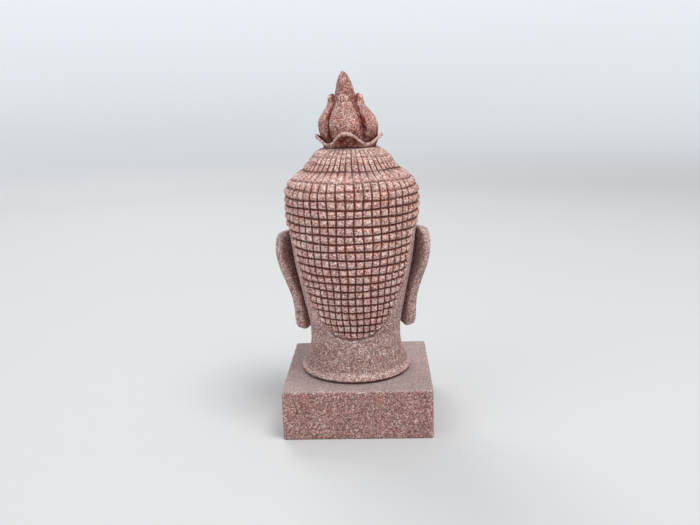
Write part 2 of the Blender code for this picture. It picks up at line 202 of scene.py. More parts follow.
RAGGED_PER_METRE, POOLS_PER_METRE, BLOTCHES_PER_METRE = 1900.0, 620.0, 230.0
# Hollows take the stain colour: partly the stone's dark stain, partly painted shade in the recesses.
STAINED_AND_SHADED_HOLLOW, RUBBED_RIDGE = (-0.07, 0.30), (-0.15, -0.75)
STAIN_AND_SHADE_ON_SKIN, RUBBING_ON_SKIN, BARENESS = -0.55, -0.5, 0.24
BARE_COLOUR = (0.530, 0.430, 0.410)
BLUSH_COLOUR = (1.0, 0.66, 0.58)
RUBBED_COLOUR = (0.53, 0.35, 0.31)
# The wash colour stands for a red stain and for painted shade in the recesses where it lies.
WASH_AND_SHADE_COLOUR = (0.42, 0.17, 0.13)


def worn_and_shaded_relief_group():
    """Dark stain and painted shade in hollows, red wash and painted shade where it pooled, pale rubbing on
    ridges and skin.
    """
    group = bpy.data.node_groups.new("stain_and_rubbing", "ShaderNodeTree")
    add_sockets(group, "INPUT", ("Color", "Color"), ("Level", "Float"), ("Stain Color", "Color"))
    add_sockets(group, "INPUT", ("Stain", "Float"), ("Rubbing", "Float"))
    add_sockets(group, "OUTPUT", ("Color", "Color"))
    given = node(group, "NodeGroupInput").outputs
    hollow, skin, wash = (kept_on_points(group, name) for name in ("hollow", "skin", "wash"))
    place = node(group, "ShaderNodeTexCoord").outputs["Object"]
    ragged = noise(group, place, RAGGED_PER_METRE)
    pools = noise(group, place, POOLS_PER_METRE)
    blotches = noise(group, place, BLOTCHES_PER_METRE, 1.0)
    rough_hollow = maths(group, "ADD", hollow, spread(group, ragged, 0.3, 0.7, -0.16, 0.16))
    # Painted shade: hollows are darkened as if in shadow, on top of the stone's own dark stain.
    stain = maths(group, "MULTIPLY", given["Stain"], maths(group, "MULTIPLY_ADD", skin, STAIN_AND_SHADE_ON_SKIN, 1.0))
    stain_and_shade_share = maths(group, "MULTIPLY", spread(group, rough_hollow, *STAINED_AND_SHADED_HOLLOW), stain)
    bright_grains = spread(group, given["Level"], 0.38, 0.68, 0.15, 1.0)
    handled = maths(group, "MULTIPLY_ADD", skin, RUBBING_ON_SKIN, 1.0)
    rubbing = maths(group, "MULTIPLY", bright_grains, maths(group, "MULTIPLY", given["Rubbing"], handled))
    pale = maths(group, "MULTIPLY", spread(group, rough_hollow, *RUBBED_RIDGE), rubbing)
    bare = mix(group, "MIX", maths(group, "MULTIPLY", skin, BARENESS), given["Color"], BARE_COLOUR)
    off_skin = maths(group, "SUBTRACT", 1.0, skin)
    blush = maths(group, "MULTIPLY", spread(group, blotches, 0.53, 0.66, 0.0, 0.6), off_skin)
    blushed = mix(group, "MULTIPLY", blush, bare, BLUSH_COLOUR)
    rubbed = mix(group, "SCREEN", pale, blushed, RUBBED_COLOUR)
    # The wash is a red stain that pooled, together with painted shade in the same recesses.
    pooled_and_shaded = maths(group, "MULTIPLY", wash, spread(group, pools, 0.36, 0.56, 0.35, 1.0))
    washed = mix(group, "MULTIPLY", pooled_and_shaded, rubbed, WASH_AND_SHADE_COLOUR)
    stained_and_shaded = mix(group, "MIX", stain_and_shade_share, washed, given["Stain Color"])
    node(group, "NodeGroupOutput", {"Color": stained_and_shaded})
    return group


DUST_COLOUR = (0.345, 0.320, 0.322)
DUSTY_SLOPE = (0.35, 0.98)


def settled_dust_group():
    """A thin pale dust on faces that look up, broken up by the grain under it."""
    group = bpy.data.node_groups.new("settled_dust", "ShaderNodeTree")
    add_sockets(group, "INPUT", ("Color", "Color"), ("Grain", "Float"), ("Amount", "Float"))
    add_sockets(group, "OUTPUT", ("Color", "Color"))
    given = node(group, "NodeGroupInput").outputs
    normal = node(group, "ShaderNodeTexCoord").outputs["Normal"]
    upward = node(group, "ShaderNodeSeparateXYZ", {"Vector": normal}).outputs["Z"]
    facing = spread(group, upward, *DUSTY_SLOPE)
    broken = spread(group, given["Grain"], 0.45, 0.95, 0.7, 1.0)
    amount = maths(group, "MULTIPLY", maths(group, "MULTIPLY", facing, broken), given["Amount"])
    dusty = mix(group, "MIX", amount, given["Color"], DUST_COLOUR)
    node(group, "NodeGroupOutput", {"Color": dusty})
    return group


grain_group = stone_grain_group()
shade_and_wear_group = worn_and_shaded_relief_group()
dust_group = settled_dust_group()
STONE_SHINE = 0.12
GRAIN_RELIEF = 0.12 * MM


def speckled_stone(name, contrast, tone, stain, rubbing, stain_colour, dust, roughness, bump):
    """The cast stone: speckle, hollows darkened by stain and painted shade, rubbed ridges, and grains that
    stand out a little.
    """
    material = bpy.data.materials.new(name)
    material.use_nodes = True
    tree = material.node_tree
    shader = tree.nodes["Principled BSDF"]
    shader.inputs["Specular IOR Level"].default_value = STONE_SHINE
    speckle = {"Grain Size": GRAIN, "Contrast": contrast, "Tone": tone}
    grain = node(tree, "ShaderNodeGroup", speckle, node_tree=grain_group).outputs
    wear_and_shade = {"Stain": stain, "Rubbing": rubbing, "Stain Color": (*stain_colour, 1.0)}
    wear_and_shade |= {"Color": grain["Color"], "Level": grain["Level"]}
    worn_and_shaded = node(tree, "ShaderNodeGroup", wear_and_shade, node_tree=shade_and_wear_group).outputs
    settled = {"Color": worn_and_shaded["Color"], "Grain": grain["Height"], "Amount": dust}
    dusty = node(tree, "ShaderNodeGroup", settled, node_tree=dust_group).outputs
    tree.links.new(dusty["Color"], shader.inputs["Base Color"])
    rough = spread(tree, grain["Height"], 0.4, 1.0, roughness + 0.1, roughness - 0.06)
    tree.links.new(rough, shader.inputs["Roughness"])
    relief = {"Height": grain["Height"], "Strength": bump, "Distance": GRAIN_RELIEF}
    tree.links.new(node(tree, "ShaderNodeBump", relief).outputs["Normal"], shader.inputs["Normal"])
    return material


SHORTEST_EDGE = 0.08 * MM


def keep_relief(mesh, passes, reach):
    """Keeps on each point how hollow the surface is there, from 1 to -1 where it is a ridge.

    reach is the radius of a bend that counts as fully hollow, and passes is how far it looks round.
    """
    count = len(mesh.vertices)
    place = np.empty(count * 3)
    mesh.vertices.foreach_get("co", place)
    place = place.reshape(-1, 3)
    ends = np.empty(len(mesh.edges) * 2, int)
    mesh.edges.foreach_get("vertices", ends)
    first, second = ends.reshape(-1, 2).T
    normal = np.empty(count * 3)
    mesh.vertex_normals.foreach_get("vector", normal)
    neighbours = np.bincount(np.concatenate([first, second]), minlength=count)

    def blurred(values):
        total = np.bincount(first, values[second], count) + np.bincount(second, values[first], count)
        return 0.5 * values + 0.5 * total / neighbours

    near = 1 / (((place[first] - place[second]) ** 2).sum(axis=1) + SHORTEST_EDGE**2)
    spacing = neighbours / (np.bincount(first, near, count) + np.bincount(second, near, count))
    smooth = list(place.T)
    for _ in range(passes):
        spacing = blurred(spacing)
        smooth = [blurred(axis) for axis in smooth]
    depth = np.einsum("ij,ij->i", np.stack(smooth, -1) - place, normal.reshape(-1, 3))
    # A pass moves a point by its bend times an eighth of the squared spacing
    bend = depth / (passes * spacing / 8)
    kept = mesh.attributes.new("hollow", "FLOAT", "POINT")
    kept.data.foreach_set("value", np.clip(bend * reach, -1, 1).astype(np.float32))


def grid_mesh(name, rows):
    """A closed mesh through rings of points, with flat ends. rows holds rings, their points and x, y, z."""
    rings, points, _ = rows.shape
    index = np.arange(rings * points).reshape(rings, points)
    after = np.roll(index, -1, axis=1)
    quads = np.stack([index[:-1], after[:-1], after[1:], index[1:]], axis=-1).reshape(-1, 4)
    mesh = bpy.data.meshes.new(name)
    faces = [tuple(quad) for quad in quads.tolist()]
    faces += [tuple(index[0][::-1].tolist()), tuple(index[-1].tolist())]
    mesh.from_pydata(rows.reshape(-1, 3).tolist(), [], faces)
    shell = bmesh.new()
    shell.from_mesh(mesh)
    bmesh.ops.recalc_face_normals(shell, faces=shell.faces)
    shell.to_mesh(mesh)
    shell.free()
    return mesh


def new_piece(name, mesh):
    """Adds an object with this mesh to the scene, at the origin."""
    piece = bpy.data.objects.new(name, mesh)
    bpy.context.scene.collection.objects.link(piece)
    return piece


def bake_modifiers(piece):
    """Turns the evaluated piece into a plain mesh and takes its modifiers off."""
    graph = bpy.context.evaluated_depsgraph_get()
    graph.update()
    mesh = bpy.data.meshes.new_from_object(piece.evaluated_get(graph))
    piece.modifiers.clear()
    piece.data = mesh
    return piece


# Plinth: a square slab of the same cast stone, rubbed flat by hand on its top and sides, so that
# its edges are a little soft and uneven. It replaces the plain CAD slab and keeps its size.
plinth_low, plinth_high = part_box("plinth")
PLINTH_OFFSET = -0.7 * MM
PLINTH_CORNER_RADIUS = 1.0 * MM
PLINTH_EDGE_RADIUS = 0.45 * MM
PLINTH_CELL = 0.62 * MM
PLINTH_GREYNESS = 0.6

plinth_stone = speckled_stone(
    "plinth_stone",
    contrast=1.05,
    tone=0.39,
    stain=0.4,
    rubbing=0.5,
    stain_colour=(0.13, 0.06, 0.05),
    dust=0.68,
    roughness=0.80,
    bump=0.55,
)


def slab_mesh():
    """The slab as a box of small cells, with its edges and corners rounded off."""
    side, height = plinth_high.x - plinth_low.x, plinth_high.z - plinth_low.z
    shell = bmesh.new()
    bmesh.ops.create_cube(shell, size=1.0)
    across, up = round(side / PLINTH_CELL), round(height / PLINTH_CELL)

    def is_upright(edge):
        return abs(edge.verts[0].co.z - edge.verts[1].co.z) > 0.5

    level = [edge for edge in shell.edges if not is_upright(edge)]
    bmesh.ops.subdivide_edges(shell, edges=level, cuts=across - 1, use_grid_fill=True)
    upright = [edge for edge in shell.edges if is_upright(edge)]
    bmesh.ops.subdivide_edges(shell, edges=upright, cuts=up - 1, use_grid_fill=True)
    half = Vector((side / 2, side / 2, height / 2))
    for vertex in shell.verts:
        point = Vector((vertex.co.x * side, vertex.co.y * side, vertex.co.z * height))
        round_corner(point, half)
        vertex.co = point + Vector((PLINTH_OFFSET, 0, plinth_low.z + height / 2))
    mesh = bpy.data.meshes.new("plinth")
    bmesh.ops.recalc_face_normals(shell, faces=shell.faces)
    shell.to_mesh(mesh)
    shell.free()
    return mesh


def round_corner(point, half):
    """Moves a point of a box onto the rounded slab: upright corners first, then the level edges."""
    inner = Vector((half.x - PLINTH_CORNER_RADIUS, half.y - PLINTH_CORNER_RADIUS))
    over = Vector((max(0, abs(point.x) - inner.x), max(0, abs(point.y) - inner.y)))
    if over.x > 0 and over.y > 0:
        over = over.normalized() * max(over.x, over.y)
        point.x = math.copysign(inner.x + over.x, point.x)
        point.y = math.copysign(inner.y + over.y, point.y)
    outward = Vector((math.copysign(over.x, point.x), math.copysign(over.y, point.y)))
    if outward.length == 0:
        return
    depth = PLINTH_CORNER_RADIUS - outward.length
    edge_in = half.z - PLINTH_EDGE_RADIUS
    if depth < PLINTH_EDGE_RADIUS and abs(point.z) > edge_in:
        out, up = PLINTH_EDGE_RADIUS - depth, abs(point.z) - edge_in
        ring = Vector((out, up)).normalized() * max(out, up)
        point.z = math.copysign(edge_in + ring.y, point.z)
        direction = outward.normalized()
        point.x -= direction.x * (out - ring.x)
        point.y -= direction.y * (out - ring.x)


plinth = new_piece("plinth_slab", slab_mesh())
plinth.data.materials.append(plinth_stone)
plinth.data.shade_smooth()
keep_relief(plinth.data, passes=2, reach=0.6 * MM)
greyed = plinth.data.attributes.new("skin", "FLOAT", "POINT")
greyed.data.foreach_set("value", np.full(len(plinth.data.vertices), PLINTH_GREYNESS, np.float32))
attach(plinth, "root")
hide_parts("plinth")

# Head: one casting from the neck's foot to the topknot, with rows of hair knobs cast on it. It is a
# grid of rings whose lines lie in the grooves between the knobs, so that each knob has its own
# cells. Heights and radii are in units, counted from the neck's foot.
head_low, head_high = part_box("buddha_head")
UNITS_IN_FIGURE = 91.8
UNIT = (head_high.z - head_low.z) / UNITS_IN_FIGURE
HAIR_COLUMNS = 48
NAPE, HAIR_CROWN, TOPKNOT_DOME, HEAD_TOP = 13.14, 60.58, 70.0, 70.6
SKULL_ROWS, ROW_SHRINK = 20, 0.0049
TOPKNOT_LINES = (63.39, 65.24, 67.11, 69.43)
ROW_SAMPLES = np.array([0.0, 0.08, 0.20, 0.40, 0.60, 0.80, 0.92])
COLUMN_SAMPLES = np.array([0.0, 0.07, 0.18, 0.34, 0.50, 0.66, 0.82, 0.93])
NECK_HEIGHTS = np.concatenate(
    [[0, 0.15, 0.3, 0.45, 0.7, 1.0, 1.4, 1.9], np.arange(2.4, 8.4, 0.6), np.arange(8.6, 13.0, 0.3)]
)
NECK_FOOT = ((0.0, 16.4), (0.25, 16.7), (0.5, 17.35), (1.0, 17.3))
TOPKNOT = ((67.1, 11.5), (68.5, 9.6), (69.6, 8.0), (HEAD_TOP, 6.0))
BACK = (
    *NECK_FOOT, (3.4, 15.8), (6.5, 14.7), (10.0, 14.3), (13.5, 14.4), (17.5, 15.7), (21.5, 17.3),
    (25.5, 18.7), (30.0, 19.9), (35.0, 20.8), (41.0, 21.15), (49.0, 21.1), (53.5, 20.75), (56.5, 20.1),
    (59.0, 19.0), (60.9, 17.6), (62.2, 15.9), (63.2, 14.3), (65.5, 12.8), *TOPKNOT,
)
SIDE = (
    *NECK_FOOT, (3.4, 15.8), (6.5, 14.7), (10.0, 14.2), (13.5, 14.2), (17.5, 14.8), (21.5, 15.6),
    (28.5, 17.0), (35.0, 18.3), (41.0, 19.1), (47.0, 19.8), (52.0, 20.2), (56.5, 20.1), (59.0, 19.1),
    (60.9, 17.7), (62.2, 15.9), (63.2, 14.35), (65.5, 12.7), *TOPKNOT,
)
FRONT = (
    *NECK_FOOT, (3.4, 15.4), (6.5, 13.8), (8.6, 13.3), (9.6, 14.0), (10.5, 15.6), (11.4, 17.0),
    (12.8, 17.8), (15.5, 18.1), (21.0, 18.1), (28.0, 18.4), (35.0, 18.5), (41.0, 18.9), (47.0, 19.4),
    (52.0, 19.3), (56.5, 18.6), (59.0, 17.6), (60.9, 16.4), (62.2, 15.3), (63.2, 14.2), (65.5, 12.7),
    *TOPKNOT,
)
FACE_SQUARENESS = ((0.0, 2.0), (12.0, 2.0), (22.0, 2.1), (34.0, 2.25), (46.0, 2.15), (60.0, 2.0))
CHIN, FACE_THIRD = 11.0, 13.3
JAW_RISE, JAW_FROM, JAW_TO = 6.5, (5.0, 9.0), (14.0, 24.0)
NAPE_TO_EAR, NAPE_FULLNESS = 26.0, 2.5
OVER_EAR_RISE, FOREHEAD_DROP, TEMPLE_DROP = 6.6, 0.4, 7.0
BEHIND_EAR, OVER_EAR, TEMPLE, BROW = (math.radians(degrees) for degrees in (64, 70, 108, 146))
TEMPLE_WIDTH = 0.1
COLUMN_WANDER, ROW_WANDER = 0.012, 0.14
SKULL_RADIUS, STEEPEST_SQUARED = 18.0, 60.0
HAIR_START, HAIR_EDGE_BELOW, HAIR_EDGE_WIDTH = (-0.15, 0.25), 0.15, 0.30
# Painted shade along the hairline's groove, and at the neck's foot in the gap over the plinth.
HAIR_EDGE_DEPTH, HAIR_EDGE_END, HAIR_EDGE_SHADE = 0.50, math.radians(66), 0.55
FOOT_SHADE_TOP = (0.45, 0.85)
TOPKNOT_KNOBS, TOPKNOT_LOSS = (57.5, 63.0), 0.35
COLUMN_GROOVE, CROWN_DEEPER, TOPKNOT_SHALLOWER = 0.90, 0.05, 0.15
CROWN_GROOVES, TOPKNOT_GROOVES = (48.0, 60.0), (61.0, 64.0)
# How deep the grooves over each row are, as a share of the knobs' height, at heights up the head
ROW_GROOVES = ((48.0, 53.0, 58.0, 60.6, 63.4, 66.0), (1.0, 0.92, 0.80, 0.90, 0.12, 0.60))


def through(points, place):
    """The values at many places on the smooth curve through (place, value) points."""
    xs, ys = np.array(points, float).T
    secant = np.diff(ys) / np.diff(xs)
    slope = np.zeros(len(xs))
    same = secant[:-1] * secant[1:] > 0
    total = np.where(same, secant[:-1] + secant[1:], 1.0)
    slope[1:-1] = np.where(same, 2 * secant[:-1] * secant[1:] / total, 0.0)
    place = np.clip(place, xs[0], xs[-1])
    i = np.clip(np.searchsorted(xs, place, side="right") - 1, 0, len(xs) - 2)
    span = xs[i + 1] - xs[i]
    t = (place - xs[i]) / span
    return (
        ys[i] * (1 + 2 * t) * (1 - t) ** 2
        + ys[i + 1] * t * t * (3 - 2 * t)
        + span * t * (1 - t) * (slope[i] * (1 - t) - slope[i + 1] * t)
    )


def hill(distance, reach):
    """A smooth rise that is one at its middle and fades over its reach."""
    return np.exp(-0.5 * (distance / reach) ** 2)


def step(low, high, value):
    """Zero below the lower edge, one above the upper, and smooth between."""
    t = np.clip((value - low) / (high - low), 0, 1)
    return t * t * (3 - 2 * t)


def face_relief(x, height):
    """How far the features stand out of the plain oval, for places across the face, in units."""
    x = np.abs(x)
    brow, nose_base = CHIN + 2 * FACE_THIRD, CHIN + FACE_THIRD
    eye = brow - 0.30 * FACE_THIRD
    mouth = nose_base - 0.34 * FACE_THIRD
    eye_width = step(2.7, 3.9, x) * (1 - step(10.3, 11.6, x))
    # Brow: an arch that rises from the root of the nose, with a crisp edge over the socket
    arch = brow - 1.4 + 2.6 * np.sin(np.minimum(x / 11.5, 1.0) * math.pi * 0.62)
    brow_length = 1 - step(10.5, 14.0, x)
    relief = 0.45 * hill(height - arch, 1.3) * brow_length
    relief = relief + 0.30 * hill(height - arch - 0.1, 0.42) * brow_length
    relief -= 0.22 * hill(height - arch + 0.9, 0.40) * brow_length * step(0.8, 2.2, x)
    # Eyes: a wide lid, lowered over the eye, that swells out of a shallow socket
    relief -= 1.7 * hill(x - 6.4, 4.2) * hill(height - eye - 0.5, 2.5)
    relief += 1.75 * hill(x - 7.1, 2.9) * hill(height - eye + 0.5, 1.75)
    crease = eye + 1.55 - 0.085 * (x - 7.0) ** 2
    relief -= 0.34 * hill(height - crease, 0.30) * eye_width
    lash = eye - 1.75 + 0.05 * (x - 6.9) ** 2
    relief += 0.22 * hill(height - lash - 0.42, 0.24) * eye_width
    relief -= 0.62 * hill(height - lash, 0.26) * eye_width
    relief += 0.25 * hill(height - lash + 0.75, 0.38) * eye_width
    # Nose: a ridge that widens and lifts from between the brows to its tip, with wings and nostrils
    ridge = ((nose_base - 0.9, 0.0), (nose_base + 1.6, 3.2), (eye - 0.5, 1.5), (brow, 0.6), (brow + 4.0, 0.0))
    width = ((nose_base, 1.9), (nose_base + 3.5, 1.4), (brow, 1.25))
    relief += through(ridge, height) * hill(x, through(width, height))
    relief += 1.05 * hill(x - 2.7, 1.0) * hill(height - nose_base - 1.5, 1.1)
    relief -= 0.35 * hill(x - 3.9, 0.45) * hill(height - nose_base - 1.7, 1.2)
    relief -= 0.75 * hill(x - 1.55, 0.55) * hill(height - nose_base - 0.15, 0.42)
    # Mouth: two full lips that meet in a shallow bow, over a small round chin
    relief -= 0.24 * hill(x, 0.55) * hill(height - mouth - 2.9, 0.9)
    relief += 1.0 * hill(x, 4.0) * hill(height - mouth - 0.95, 0.80)
    relief += 1.15 * hill(x, 3.2) * hill(height - mouth + 1.15, 0.88)
    parting = mouth + 0.16 * np.cos(x * 1.35) + 0.035 * x**2
    relief -= 0.85 * hill(height - parting, 0.28) * (1 - step(4.4, 6.0, x))
    relief -= 0.40 * hill(x - 5.5, 0.7) * hill(height - mouth - 0.8, 0.75)
    relief -= 0.55 * hill(x, 3.6) * hill(height - mouth + 3.2, 0.75)
    relief += 1.1 * hill(x, 3.3) * hill(height - CHIN - 3.4, 2.0)
    relief += 0.7 * hill(x - 10.0, 4.0) * hill(height - nose_base - 3.0, 4.5)
    # Three soft folds round the front of the neck
    for fold in (3.6, 5.6, 7.6):
        relief -= 0.16 * hill(height - fold - 0.004 * x**2, 0.20)
    return relief


def head_surface(turn, height):
    """Points of the bare head in units: turn is the angle from the middle of the back."""
    across, along = np.sin(turn), np.cos(turn)
    behind = along >= 0
    jaw_rise = JAW_RISE * across**2 * step(*JAW_FROM, height) * (1 - step(*JAW_TO, height))
    squareness = np.where(behind, 2.0, through(FACE_SQUARENESS, height))
    depth = np.where(behind, through(BACK, height), through(FRONT, height - jaw_rise))
    power = 2.0 / squareness
    x = through(SIDE, height) * np.sign(across) * np.abs(across) ** power
    y = depth * np.sign(along) * np.abs(along) ** power
    y = y - np.where(behind, 0.0, step(0.2, 0.75, -along) * face_relief(x, height))
    return np.stack([x, y, height], axis=-1)


def hairline(turn):
    """The lowest hair at each angle from the middle of the back, in units above the foot."""
    turn = np.abs(turn)
    nape = NAPE + NAPE_TO_EAR * (1 - np.sqrt(np.clip(1 - (turn / BEHIND_EAR) ** NAPE_FULLNESS, 0, 1)))
    side = NAPE + NAPE_TO_EAR + OVER_EAR_RISE * step(BEHIND_EAR, OVER_EAR, turn)
    falling = TEMPLE_DROP * (1 - step(TEMPLE + TEMPLE_WIDTH, BROW, turn))
    forehead = CHIN + 3 * FACE_THIRD - FOREHEAD_DROP - falling
    return np.where(turn < BEHIND_EAR, nape, np.where(turn < TEMPLE, side, forehead))


def hair_lines():
    """The heights of the grooves between the rows of knobs, from the nape up."""
    pitch = (HAIR_CROWN - NAPE) / SKULL_ROWS + ROW_SHRINK * SKULL_ROWS
    skull = [HAIR_CROWN - pitch * k + ROW_SHRINK * k * k for k in range(SKULL_ROWS + 1)]
    return np.array(skull[::-1] + list(TOPKNOT_LINES))


def head_grid():
    """The bare head's points, with each point's place in its knob: from -1 to 1 both ways."""
    column = (np.arange(HAIR_COLUMNS)[:, None] + COLUMN_SAMPLES).ravel()
    across = 2 * np.tile(COLUMN_SAMPLES, HAIR_COLUMNS) - 1
    lines = hair_lines()
    rows = (lines[:-1, None] + np.diff(lines)[:, None] * ROW_SAMPLES).ravel()
    up = 2 * np.tile(ROW_SAMPLES, len(lines) - 1) - 1
    heights = np.concatenate([NECK_HEIGHTS, rows, [lines[-1], TOPKNOT_DOME, HEAD_TOP]])
    # Rings without knobs have -1 as their row: the neck's below, and three on the topknot
    below, above = np.full(len(NECK_HEIGHTS), -1), [-1, -1, -1]
    up = np.concatenate([below, up, above])
    row_number = np.concatenate([below, np.repeat(np.arange(len(lines) - 1), len(ROW_SAMPLES)), above])
    turn = 2 * math.pi * (column + 0.5) / HAIR_COLUMNS
    turn_grid, height_grid = np.meshgrid(turn, heights)
    signed = np.where(turn_grid > math.pi, turn_grid - 2 * math.pi, turn_grid)
    # The rows and columns wander a little, as they do where knobs were pressed in by hand
    settled = step(0, 6, height_grid - hairline(signed)) * step(0, 4, TOPKNOT_LINES[-1] - height_grid)
    turn_drift = COLUMN_WANDER * np.sin(0.31 * height_grid + 2.3 * np.sin(3 * turn_grid)) * settled
    row_drift = ROW_WANDER * np.sin(5 * turn_grid + 0.8 * height_grid) * settled
    place = head_surface(turn_grid + turn_drift, height_grid + row_drift)
    round_side = np.roll(place, -1, axis=1) - np.roll(place, 1, axis=1)
    up_side = np.gradient(place, axis=0)
    outward = np.cross(up_side, round_side)
    outward /= np.linalg.norm(outward, axis=-1, keepdims=True)
    # The stone is cut in a little along the hairline, as far as the ears
    above_line = height_grid - hairline(signed)
    hair = step(*HAIR_START, above_line) * (row_number[:, None] >= 0)
    slope = np.gradient(hairline(signed), axis=1) / (SKULL_RADIUS * np.gradient(turn)[None, :])
    from_line = above_line / np.sqrt(1 + np.minimum(slope**2, STEEPEST_SQUARED))
    edge = hill(from_line + HAIR_EDGE_BELOW, HAIR_EDGE_WIDTH) * (np.abs(signed) < HAIR_EDGE_END)
    place = place - outward * HAIR_EDGE_DEPTH * edge[..., None]
    crown_groove = COLUMN_GROOVE + CROWN_DEEPER * step(*CROWN_GROOVES, height_grid)
    knob = row_number[:, None] * HAIR_COLUMNS + np.floor(column + 1e-6).astype(int)[None, :]
    return place, {
        "knob_across": np.broadcast_to(across[None, :], hair.shape),
        "knob_up": np.broadcast_to(up[:, None], hair.shape),
        "hair": hair * (1 - TOPKNOT_LOSS * step(*TOPKNOT_KNOBS, height_grid)),
        "skin": 1 - hair,
        # Painted shade in the hairline's groove and at the neck's foot, through the wash and shade.
        "wash": np.maximum(HAIR_EDGE_SHADE * edge, 1.0 - step(*FOOT_SHADE_TOP, height_grid)),
        "column_groove": crown_groove - TOPKNOT_SHALLOWER * step(*TOPKNOT_GROOVES, height_grid),
        "row_groove": np.interp(height_grid, *ROW_GROOVES),
        "knob_number": knob,
        "outward": outward,
    }


KNOB_HEIGHT, KNOB_ROUNDNESS, KNOB_SEED = 0.75 * MM, 0.62, 7


def knob_tree():
    """Raises a small rounded square knob out of each cell of hair, no two quite the same."""
    tree = bpy.data.node_groups.new("hair_knobs", "GeometryNodeTree")
    add_sockets(
        tree,
        "INPUT",
        ("Geometry", "Geometry"),
        ("Knob Height", "Float", KNOB_HEIGHT),
        ("Squareness", "Float", 2.6),
        ("Fullness Across", "Float", 0.79),
        ("Fullness Up", "Float", 0.76),
        ("Overhang", "Float", 0.22),
        ("Unevenness", "Float", 0.30),
        ("Seed", "Int", KNOB_SEED),
        ("Stone", "Material"),
    )
    add_sockets(tree, "OUTPUT", ("Geometry", "Geometry"))
    given = node(tree, "NodeGroupInput").outputs

    def kept(name, kind="FLOAT"):
        found = node(tree, "GeometryNodeInputNamedAttribute", {"Name": name}, data_type=kind)
        return found.outputs["Attribute"]

    def groove(place, fullness, depth):
        """One across the knob's middle, and falling by the groove's depth towards two of its sides."""
        out = maths(tree, "DIVIDE", maths(tree, "ABSOLUTE", kept(place)), given[fullness])
        inside = maths(tree, "SUBTRACT", 1.0, maths(tree, "POWER", out, given["Squareness"]))
        inside = maths(tree, "MAXIMUM", inside, 0.0)
        round_side = maths(tree, "POWER", inside, KNOB_ROUNDNESS)
        fall = maths(tree, "MULTIPLY", maths(tree, "SUBTRACT", 1.0, round_side), kept(depth))
        return maths(tree, "SUBTRACT", 1.0, fall)

    draw = {"ID": kept("knob_number", "INT"), "Seed": given["Seed"], 2: 1.0, 3: 0.0}
    size = node(tree, "FunctionNodeRandomValue", draw, data_type="FLOAT").outputs[1]
    uneven = maths(tree, "SUBTRACT", 1.0, maths(tree, "MULTIPLY", size, given["Unevenness"]))
    round_across = groove("knob_across", "Fullness Across", "column_groove")
    dome = maths(tree, "MULTIPLY", round_across, groove("knob_up", "Fullness Up", "row_groove"))
    overhang = maths(tree, "SUBTRACT", 1.0, maths(tree, "MULTIPLY", kept("knob_up"), given["Overhang"]))
    lift = maths(tree, "MULTIPLY", maths(tree, "MULTIPLY", dome, uneven), given["Knob Height"])
    lift = maths(tree, "MULTIPLY", maths(tree, "MULTIPLY", lift, overhang), kept("hair"))
    move = node(tree, "ShaderNodeVectorMath", {0: kept("outward", "FLOAT_VECTOR")}, operation="SCALE")
    tree.links.new(lift, move.inputs["Scale"])
    knobs = {"Geometry": given["Geometry"], "Offset": move.outputs[0]}
    raised = node(tree, "GeometryNodeSetPosition", knobs)
    real = node(tree, "GeometryNodeRealizeInstances", {"Geometry": raised.outputs[0]})
    stone = node(tree, "GeometryNodeSetMaterial", {"Geometry": real.outputs[0], "Material": given["Stone"]})
    node(tree, "NodeGroupOutput", {"Geometry": stone.outputs[0]})
    return tree


def run_tree(piece, tree, **values):
    """Puts a Geometry Nodes tree on a piece, sets its inputs, and bakes the result into a plain mesh."""
    modifier = piece.modifiers.new(tree.name, "NODES")
    modifier.node_group = tree
    for item in tree.interface.items_tree:
        key = item.name.replace(" ", "_").lower()
        if item.in_out == "INPUT" and key in values:
            modifier[item.identifier] = values[key]
    return bake_modifiers(piece)


head_stone = speckled_stone(
    "head_stone",
    contrast=1.0,
    tone=0.515,
    stain=0.92,
    rubbing=1.0,
    stain_colour=(0.074, 0.018, 0.014),
    dust=0.30,
    roughness=0.82,
    bump=0.6,
)


def on_plinth(places):
    """Places in units above the foot, as places in metres."""
    return places * UNIT + np.array([0, 0, head_low.z])


def carved_grid(name, places, **kept):
    """A closed mesh through rings of places in units, with values kept on its points."""
    mesh = grid_mesh(name, on_plinth(places))
    for attribute, values in kept.items():
        kind = {3: "FLOAT_VECTOR"}.get(np.ndim(values), "INT" if values.dtype.kind == "i" else "FLOAT")
        layer = mesh.attributes.new(attribute, kind, "POINT")
        field = "vector" if kind == "FLOAT_VECTOR" else "value"
        number = None if kind == "INT" else np.float32
        layer.data.foreach_set(field, np.ascontiguousarray(values, number).ravel())
    return mesh


place, kept = head_grid()
head = new_piece("buddha_head_carved", carved_grid("head", place, **kept))
run_tree(head, knob_tree(), knob_height=KNOB_HEIGHT, seed=KNOB_SEED, stone=head_stone)

# Ears: long ears with hanging lobes, cast with the head. Each is a blade with a rolled rim, a hollow
# at the ear hole and a long groove down the lobe. A level is a height, the places of the blade's
# root and rim there, and its thickness.
EAR_LEVELS = (
    (12.0, (15.9, -6.2), (16.9, -3.6), 1.6),
    (12.9, (15.3, -7.6), (17.4, -2.2), 2.9),
    (15.0, (15.0, -8.3), (17.9, -1.3), 3.3),
    (18.5, (15.0, -8.6), (18.1, -0.7), 3.0),
    (23.0, (15.6, -8.6), (18.6, 0.3), 2.8),
    (28.5, (16.4, -8.6), (20.1, 1.9), 2.8),
    (34.5, (17.5, -8.6), (22.0, 3.6), 2.7),
    (39.5, (18.1, -8.0), (22.9, 4.2), 2.4),
    (42.8, (18.5, -6.6), (22.7, 3.4), 2.4),
    (44.4, (18.9, -4.6), (22.1, 1.6), 2.4),
    (45.0, (19.5, -3.0), (21.2, 0.2), 1.4),
)
EAR_ROWS = 84
EAR_RIM, EAR_RIM_DEPTH, EAR_BACK_ROUNDNESS = 0.93, 0.07, 0.35
LEFT_EAR_DROP, RIGHT_EAR_DROP = 1.0, 0.4
